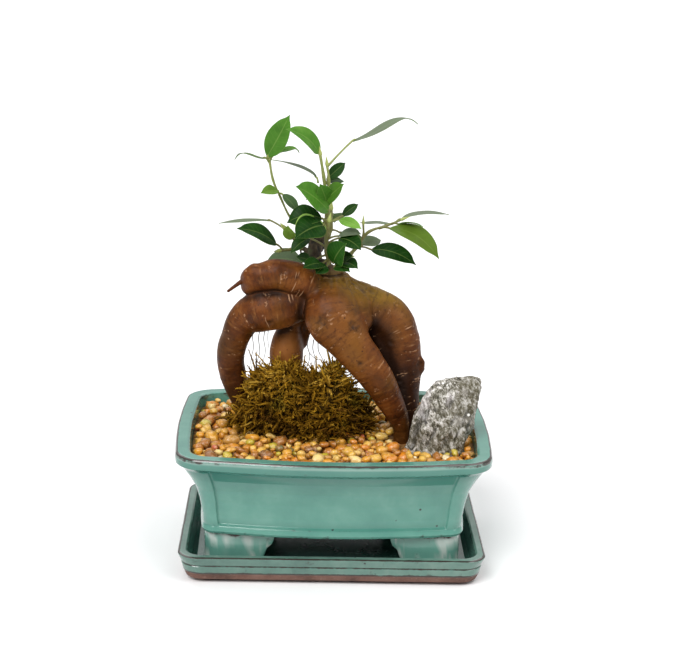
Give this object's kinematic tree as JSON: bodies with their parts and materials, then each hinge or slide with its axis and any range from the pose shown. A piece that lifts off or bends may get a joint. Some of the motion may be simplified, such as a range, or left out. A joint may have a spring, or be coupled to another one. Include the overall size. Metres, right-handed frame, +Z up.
{
  "type": "potted ginseng ficus",
  "caption": "Grafted ginseng ficus with swollen bare roots, leafy shoots, moss, gravel and a gray stone, in a green glazed bonsai pot on its saucer",
  "frame": {"origin": "on the surface that the saucer stands on, under the middle of the whole object", "axes": "+Z up along the plant, +X along the pot's long side to the right, -Y to the front"},
  "size_m": [0.1794, 0.1422, 0.2588],
  "materials": {
    "jade_glaze": "glossy jade green glaze, brown where it thins on the edges",
    "drain_plastic": "matte black mesh",
    "potting_mix": "crumbly dark brown soil",
    "root_bark": "thin reddish brown bark with pale ring marks and scars",
    "pea_gravel": "rounded tan, amber, red and white pebbles",
    "schist": "rough gray with slanted grain and white flecks",
    "dry_moss": "dry olive brown moss strands",
    "woody_bark": "rough dark brown bark",
    "ficus_leaf": "glossy dark green leaves, paler underneath"
  },
  "bodies": {
    "root": {"saucer": "jade_glaze", "pot": "jade_glaze", "drain_mesh_left": "drain_plastic", "drain_mesh_right": "drain_plastic", "soil": "potting_mix", "roots": "root_bark", "gravel": "pea_gravel", "stone": "schist", "moss": "dry_moss", "trunk": "woody_bark", "shoot_left": "ficus_leaf", "shoot_middle": "ficus_leaf", "shoot_front": "ficus_leaf", "shoot_right": "ficus_leaf", "shoot_low_left": "ficus_leaf", "shoot_back": "ficus_leaf"}
  },
  "joints": []
}
